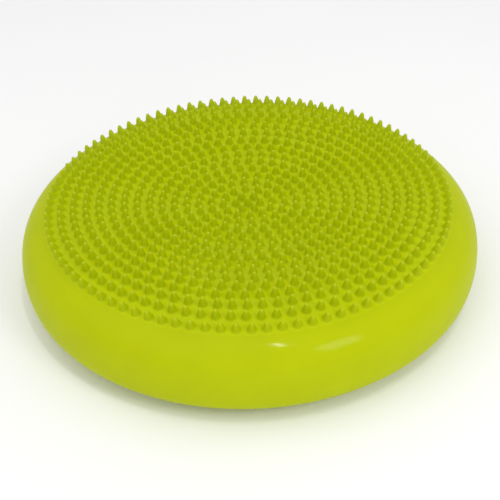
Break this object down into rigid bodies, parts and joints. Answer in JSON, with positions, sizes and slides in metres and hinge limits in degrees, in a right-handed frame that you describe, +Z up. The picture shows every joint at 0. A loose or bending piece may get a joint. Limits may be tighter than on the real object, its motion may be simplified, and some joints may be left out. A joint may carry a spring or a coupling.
{
  "type": "balance pad",
  "caption": "Round inflatable balance cushion with a dished top of pointed spikes, a smooth rounded rim and a stoppered valve in its side.",
  "frame": {"origin": "Centre of the pad on the floor that it stands on.", "axes": "+Z up through the pad's thickness; +Y towards the valve; the first spike of the outermost ring lies a quarter of a degree from +X."},
  "size_m": [0.33, 0.33, 0.072],
  "materials": {
    "soft_pvc": "satin",
    "valve_pvc": "satin",
    "core_rubber": "matte",
    "stopper_plastic": "satin"
  },
  "bodies": {
    "pad": {"upper_shell": "soft_pvc", "spikes": "soft_pvc", "lower_shell": "soft_pvc", "valve_housing": "valve_pvc", "valve_core": "core_rubber"},
    "stopper": {"valve_stopper": "stopper_plastic"}
  },
  "joints": [
    {"name": "stopper_pull", "type": "slide", "parent": "pad", "child": "stopper", "axis": [0, 0.9397, -0.342], "range_m": [0, 0.012]}
  ]
}
